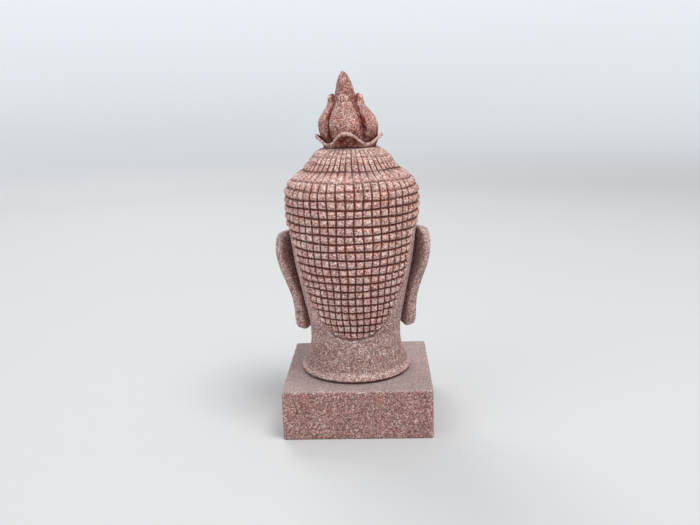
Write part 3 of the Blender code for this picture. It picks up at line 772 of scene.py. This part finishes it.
# The lower ears are redder, the left one more: partly the stone's red, partly painted reddish reflected
# light.
LEFT_EAR_RED_AND_REFLECTED, RIGHT_EAR_RED_AND_REFLECTED, RED_AND_REFLECTED_EAR_TOP = 0.5, 0.1, (34.0, 44.0)


def ear_carving(share, height):
    """The outer face's relief, in half thicknesses, from the root at 0 to the rim at 1."""
    upper = step(22.0, 27.0, height) * (1 - step(42.5, 44.0, height))
    relief = 0.12 * hill(share - 0.91, 0.06)
    relief = relief - 0.55 * hill(share - 0.75, 0.055) * upper
    relief += 0.16 * hill(share - 0.58, 0.07) * upper
    relief -= 1.05 * hill(share - 0.34, 0.11) * hill(height - 31.0, 4.4)
    relief -= 0.55 * hill(share - 0.44, 0.09) * hill(height - 40.0, 1.7)
    relief += 0.55 * hill(share - 0.12, 0.06) * hill(height - 30.5, 1.5)
    relief -= 0.50 * hill(share - 0.50, 0.10) * step(13.4, 15.5, height) * (1 - step(22.5, 25.5, height))
    return relief


def ear_places():
    """Rings of points up one ear, in units: out along its outer face, round the rim, and back."""
    levels, roots, rims, thicknesses = zip(*EAR_LEVELS)
    ease = 0.5 - 0.5 * np.cos(np.linspace(0, math.pi, EAR_ROWS))
    heights = levels[0] + (0.45 * ease + 0.55 * np.linspace(0, 1, EAR_ROWS)) * (levels[-1] - levels[0])

    def at_rows(values):
        return through(list(zip(levels, values)), heights)

    root = np.stack([at_rows(values) for values in zip(*roots)], -1)
    rim = np.stack([at_rows(values) for values in zip(*rims)], -1)
    half = at_rows(thicknesses)[:, None] / 2
    along = rim - root
    outward = np.stack([along[:, 1], -along[:, 0]], -1)
    outward /= np.linalg.norm(outward, axis=-1, keepdims=True)
    outer = np.linspace(0, EAR_RIM, 27)
    bend = np.linspace(0, math.pi, 9)[1:-1]
    share = np.concatenate([outer, EAR_RIM + EAR_RIM_DEPTH * np.sin(bend), outer[::-2]])
    side = np.concatenate([np.ones(len(outer)), np.cos(bend), -np.ones(len(outer[::-2]))])
    side = np.where(side < 0, side * (1 - EAR_BACK_ROUNDNESS * np.abs(2 * share - 1) ** 4), side)
    share_grid, height_grid = np.meshgrid(share, heights)
    carved = side + np.where(side > 0.9, ear_carving(share_grid, height_grid), 0.0)
    flat = root[:, None] + along[:, None] * share_grid[..., None]
    flat = flat + outward[:, None] * (half * carved)[..., None]
    return np.concatenate([flat, height_grid[..., None]], -1)


left_ear = ear_places() - np.array([0, 0, LEFT_EAR_DROP])
right_ear = ear_places() * np.array([-1, 1, 1]) - np.array([0, 0, RIGHT_EAR_DROP])
ears = []
# Less skin low on each ear paints it redder: stone colour plus painted reflected light, stronger on the left.
for places, red_and_reflected in ((left_ear, LEFT_EAR_RED_AND_REFLECTED), (right_ear, RIGHT_EAR_RED_AND_REFLECTED)):
    bare_skin = 1 - red_and_reflected * (1 - step(*RED_AND_REFLECTED_EAR_TOP, places[..., 2]))
    ears.append(new_piece("ear", carved_grid("ear", places, skin=bare_skin)))

# Finial: a lotus bud on the topknot, cast with the head and a little bent to one side. Four petals
# close round a pointed bud, and the cup under them turns out to four small points.
CORE = (
    (66.0, 4.5), (69.0, 5.6), (72.5, 6.2), (76.0, 6.3), (79.5, 5.5), (83.0, 3.7), (84.8, 3.05), (86.3, 2.65),
    (87.7, 2.32), (89.2, 1.9), (90.6, 1.25), (91.4, 0.75), (91.7, 0.40), (UNITS_IN_FIGURE, 0.05),
)
CORE_FACETS, FACETS_FROM, FACETS_TO = 0.035, (80.0, 84.0), (88.0, 91.0)
PETALS = 4
PETAL_PATH = (
    (69.6, 7.0), (71.5, 8.0), (73.6, 8.75), (76.0, 9.0), (77.5, 8.7), (78.9, 7.95), (80.4, 6.8), (81.9, 5.75),
    (83.3, 5.3), (84.3, 5.22), (84.9, 4.95), (85.3, 4.4),
)
PETAL_HALF_ANGLE = (
    (69.6, 0.62), (73.0, 0.66), (79.0, 0.66), (81.9, 0.64), (83.2, 0.46), (84.4, 0.34), (85.3, 0.20),
)
PETAL_THICKNESS = ((69.6, 2.4), (76.0, 2.4), (81.0, 2.0), (84.4, 1.6), (85.0, 1.2), (85.3, 0.7))
PETAL_TURN = math.radians(-7.0)
CALYX_BASE, CALYX_WAIST, CALYX_RIM, CALYX_TIP = (67.1, 5.4), (69.1, 7.8), (71.0, 8.6), (74.0, 10.3)
CALYX_TIP_SWAY, CALYX_TIP_SHARPNESS, CALYX_TURN = 0.45, 1.15, math.radians(-3.0)
CALYX_WALL, CALYX_LIP, CALYX_FLOOR_RADIUS, CALYX_FLOOR_RISE = 0.9, 0.42, 5.5, 0.9
# The lip's curve, as places inward and upward of the rim
LIP_CURVE = (
    (-0.06, -0.22), (0.00, 0.02), (0.12, 0.22), (0.34, 0.33), (0.58, 0.28), (0.78, 0.06), (0.86, -0.25),
)
FINIAL_LEAN, LEAN_FROM = 1.5, 69.0


def round_places(turn, radius, height):
    """Places round the axis. A turn of zero looks forward."""
    return np.stack([radius * np.sin(turn), -radius * np.cos(turn), height], -1)


def petal_places():
    """Rings up one petal, which is a thick leaf curved round the bud, with fine ribs along it."""
    ease = np.sin(np.linspace(0, math.pi / 2, 34))
    heights = PETAL_PATH[0][0] + ease * (PETAL_PATH[-1][0] - PETAL_PATH[0][0])
    around = np.linspace(0, 2 * math.pi, 36, endpoint=False)
    angle, height = np.meshgrid(around, heights)
    across = np.sign(np.cos(angle)) * np.abs(np.cos(angle)) ** 0.8
    facing = np.sign(np.sin(angle)) * np.abs(np.sin(angle)) ** 0.6
    thick = through(PETAL_THICKNESS, height)
    ribs = 0.07 * np.cos(across * 13.0) * (np.abs(across) < 0.9) + 0.12 * hill(across, 0.07)
    outer = through(PETAL_PATH, height) - 0.35 * thick * across**2 + np.where(facing > 0.5, ribs, 0.0)
    radius = outer - thick * (0.5 - 0.5 * facing)
    return round_places(PETAL_TURN + across * through(PETAL_HALF_ANGLE, height), radius, height)


def calyx_places():
    """Rings of the cup: out over its underside to the rim, over the rim and down inside."""
    turn = np.linspace(0, 2 * math.pi, 112, endpoint=False)
    rise = (0.5 + 0.5 * np.cos(PETALS * turn)) ** CALYX_TIP_SHARPNESS
    tip_height = CALYX_TIP[0] + CALYX_TIP_SWAY * np.cos(2 * turn)
    rim_height = CALYX_RIM[0] + rise * (tip_height - CALYX_RIM[0]) - 0.3
    rim_radius = CALYX_RIM[1] + rise * (CALYX_TIP[1] - CALYX_RIM[1])
    under_lip = rim_height - CALYX_LIP
    place = turn + CALYX_TURN
    rings = [round_places(place, np.full_like(turn, CALYX_BASE[1]), np.full_like(turn, CALYX_BASE[0]))]
    for share in np.linspace(0, 1, 11):
        flare = 0.35 * share + 0.65 * share**3
        radius = CALYX_WAIST[1] + flare * (rim_radius - CALYX_WAIST[1])
        rings.append(round_places(place, radius, CALYX_WAIST[0] + share * (under_lip - CALYX_WAIST[0])))
    for inward, upward in LIP_CURVE:
        rings.append(round_places(place, rim_radius - inward, rim_height + upward))
    inside_radius = rim_radius - CALYX_WALL - 0.9 * rise - 0.1
    rings.append(round_places(place, inside_radius, rim_height - 0.9 * rise - 0.4))
    floor_height = np.full_like(turn, CALYX_WAIST[0] + CALYX_FLOOR_RISE)
    rings.append(round_places(place, np.full_like(turn, CALYX_FLOOR_RADIUS), floor_height))
    return np.array(rings)


def core_places():
    """Rings up the closed bud and its spike."""
    heights = np.concatenate([np.linspace(CORE[0][0], 90.0, 42), np.linspace(90.3, CORE[-1][0], 10)])
    turn, height = np.meshgrid(np.linspace(0, 2 * math.pi, 64, endpoint=False), heights)
    faceted = step(*FACETS_FROM, height) * (1 - step(*FACETS_TO, height))
    facets = 1 + CORE_FACETS * np.cos(PETALS * turn) * faceted
    return round_places(turn, through(CORE, height) * facets, height)


def ring_tree():
    """Sets copies of one petal at even turns round the axis."""
    tree = bpy.data.node_groups.new("petals_round_bud", "GeometryNodeTree")
    add_sockets(tree, "INPUT", ("Geometry", "Geometry"), ("Petals", "Int", PETALS), ("Stone", "Material"))
    add_sockets(tree, "OUTPUT", ("Geometry", "Geometry"))
    given = node(tree, "NodeGroupInput").outputs
    points = node(tree, "GeometryNodePoints", {"Count": given["Petals"]})
    share = maths(tree, "DIVIDE", node(tree, "GeometryNodeInputIndex").outputs[0], given["Petals"])
    turned = node(tree, "ShaderNodeCombineXYZ", {"Z": maths(tree, "MULTIPLY", share, math.tau)})
    copies = {"Points": points.outputs[0], "Instance": given["Geometry"], "Rotation": turned.outputs[0]}
    ring = node(tree, "GeometryNodeInstanceOnPoints", copies)
    real = node(tree, "GeometryNodeRealizeInstances", {"Geometry": ring.outputs[0]})
    stone = node(tree, "GeometryNodeSetMaterial", {"Geometry": real.outputs[0], "Material": given["Stone"]})
    node(tree, "NodeGroupOutput", {"Geometry": stone.outputs[0]})
    return tree


def lean_finial(mesh):
    """Leans the bud over, more towards its tip."""
    for vertex in mesh.vertices:
        height = (vertex.co.z - head_low.z) / UNIT
        vertex.co.x += FINIAL_LEAN * UNIT * max(0.0, (height - LEAN_FROM) / (UNITS_IN_FIGURE - LEAN_FROM))


# A red wash and painted shade at the petals' feet and between them, on the bud inside them, and under the
# cup's rim and in it. The cup's wash and shade go by its rings, from its base to the floor inside.
PETAL_FOOT_WASH_AND_SHADE, PETAL_FOOT_TOP, PETAL_SHADED_SIDE = 0.95, (72.5, 77.0), (0.25, 0.62)
SPIKE_FROM, SPIKE_BARENESS = (80.0, 84.0), 0.65
CUP_WASH_AND_SHADE_RINGS, CUP_WASH_AND_SHADE = (0, 8, 10, 11, 18, 19, 20), (1.0, 1.0, 0.9, 0.15, 0.0, 0.7, 1.0)
CUP_LIP_RING, CUP_LOW_RIM, CUP_RIM_RISE, CUP_LEAST_WASH_AND_SHADE = 12, 70.9, 2.0, 0.25
petal_rings, bud_rings, cup_rings = petal_places(), core_places(), calyx_places()
petal_foot_wash_and_shade = PETAL_FOOT_WASH_AND_SHADE * (1 - step(*PETAL_FOOT_TOP, petal_rings[..., 2]))
side_on = np.abs(np.sin(np.linspace(0, 2 * math.pi, petal_rings.shape[1], endpoint=False)))
outer_side = np.arange(petal_rings.shape[1]) < petal_rings.shape[1] // 2
petal_gap_shade = (1 - step(*PETAL_SHADED_SIDE, np.where(outer_side, side_on, 0.0))) * np.ones_like(petal_foot_wash_and_shade)
petals = new_piece("petals", carved_grid("petal", petal_rings, wash=np.maximum(petal_foot_wash_and_shade, petal_gap_shade)))
run_tree(petals, ring_tree(), petals=PETALS, stone=head_stone)
bud_wash = 1 - SPIKE_BARENESS * step(*SPIKE_FROM, bud_rings[..., 2])
bud = new_piece("bud", carved_grid("bud", bud_rings, wash=bud_wash))
under_tips = np.clip((cup_rings[CUP_LIP_RING, :, 2] - CUP_LOW_RIM) / CUP_RIM_RISE, 0, 1)
cup_wash = np.interp(np.arange(len(cup_rings)), CUP_WASH_AND_SHADE_RINGS, CUP_WASH_AND_SHADE)[:, None]
cup_wash = cup_wash * (CUP_LEAST_WASH_AND_SHADE + (1 - CUP_LEAST_WASH_AND_SHADE) * under_tips)
cup = new_piece("cup", carved_grid("cup", cup_rings, wash=cup_wash))
for form in (petals, bud, cup):
    lean_finial(form.data)


def join_forms(piece, forms):
    """Makes one closed body of a piece and the forms that run into it."""
    for form in forms:
        union = piece.modifiers.new(form.name, "BOOLEAN")
        union.operation = "UNION"
        union.solver = "MANIFOLD"
        union.object = form
    bake_modifiers(piece)
    for form in forms:
        bpy.data.objects.remove(form)


join_forms(head, ears + [bud, cup, petals])
head.data.materials.clear()
head.data.materials.append(head_stone)
head.data.shade_smooth()
keep_relief(head.data, passes=8, reach=0.8 * MM)
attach(head, "root")
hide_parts("buddha_head")

# Setting: a plain pale floor that sweeps up all round into a low backdrop, with soft light from both
# sides of the camera and one more light on the face. None of it is part of the object.
FLOOR_COLOUR, FLOOR_ROUGHNESS, FLOOR_SHINE = (0.55, 0.56, 0.57), 0.7, 0.2
FLOOR_RADIUS, SWEEP_RADIUS, BACKDROP_TOP = 1.0, 0.6, 0.75
GLOW_COLOUR, GLOW, GLOW_FROM, GLOW_FULL = (0.90, 0.95, 1.0), 0.58, 0.6, 1.7
SKY_COLOUR, SKY_STRENGTH = (0.94, 0.97, 1.0), 0.45
LIGHTS_AIM = (0, 0, 0.06)


def studio_floor():
    """A round floor with a smooth sweep up to its backdrop."""
    arc = np.linspace(0, math.pi / 2, 17)
    sweep = FLOOR_RADIUS + SWEEP_RADIUS * np.sin(arc)
    radius = np.concatenate([[0.001, 0.3, 0.7], sweep, [FLOOR_RADIUS + SWEEP_RADIUS]])
    height = np.concatenate([[0.0, 0.0, 0.0], SWEEP_RADIUS * (1 - np.cos(arc)), [BACKDROP_TOP]])
    turn = np.linspace(0, 2 * math.pi, 96, endpoint=False)
    rings = [[(r * math.cos(t), r * math.sin(t), h) for t in turn] for r, h in zip(radius, height)]
    mesh = bpy.data.meshes.new("floor")
    count = len(turn)
    faces = [
        (i * count + k, i * count + (k + 1) % count, (i + 1) * count + (k + 1) % count, (i + 1) * count + k)
        for i in range(len(rings) - 1)
        for k in range(count)
    ]
    faces.append(tuple(range(count)))
    mesh.from_pydata([point for ring in rings for point in ring], [], faces)
    mesh.shade_smooth()
    return mesh


floor = new_piece("floor", studio_floor())
floor_material = bpy.data.materials.new("floor")
floor_material.use_nodes = True
floor_tree = floor_material.node_tree
floor_shader = floor_tree.nodes["Principled BSDF"]
floor_shader.inputs["Base Color"].default_value = (*FLOOR_COLOUR, 1.0)
floor_shader.inputs["Roughness"].default_value = FLOOR_ROUGHNESS
floor_shader.inputs["Specular IOR Level"].default_value = FLOOR_SHINE
floor_place = node(floor_tree, "ShaderNodeTexCoord").outputs["Object"]
from_middle = node(floor_tree, "ShaderNodeVectorMath", {0: floor_place}, operation="LENGTH")
glow = spread(floor_tree, from_middle.outputs["Value"], GLOW_FROM, GLOW_FULL, 0.0, GLOW)
floor_tree.links.new(glow, floor_shader.inputs["Emission Strength"])
floor_shader.inputs["Emission Color"].default_value = (*GLOW_COLOUR, 1.0)
floor.data.materials.append(floor_material)

world = bpy.data.worlds.new("soft light")
bpy.context.scene.world = world
world.use_nodes = True
sky = world.node_tree.nodes["Background"].inputs
sky["Color"].default_value = (*SKY_COLOUR, 1.0)
sky["Strength"].default_value = SKY_STRENGTH
bpy.context.scene.view_settings.view_transform = "Standard"


def soft_light(name, place, size, power, colour):
    """A square softbox that faces the middle of the head."""
    lamp = bpy.data.lights.new(name, "AREA")
    lamp.size, lamp.energy, lamp.color = size, power, colour
    holder = bpy.data.objects.new(name, lamp)
    bpy.context.scene.collection.objects.link(holder)
    holder.location = place
    holder.rotation_euler = (Vector(place) - Vector(LIGHTS_AIM)).to_track_quat("Z", "Y").to_euler()


soft_light("window", place=(-0.25, 0.22, 0.80), size=0.35, power=4.9, colour=(1.0, 0.98, 0.95))
soft_light("side", place=(-0.50, 0.55, 0.58), size=0.35, power=0.4, colour=(1.0, 0.98, 0.96))
soft_light("fill", place=(0.6, 0.5, 0.45), size=0.6, power=1.5, colour=(0.97, 0.98, 1.0))
soft_light("front", place=(0.30, -0.6, 0.65), size=0.4, power=3.0, colour=(1.0, 0.98, 0.95))
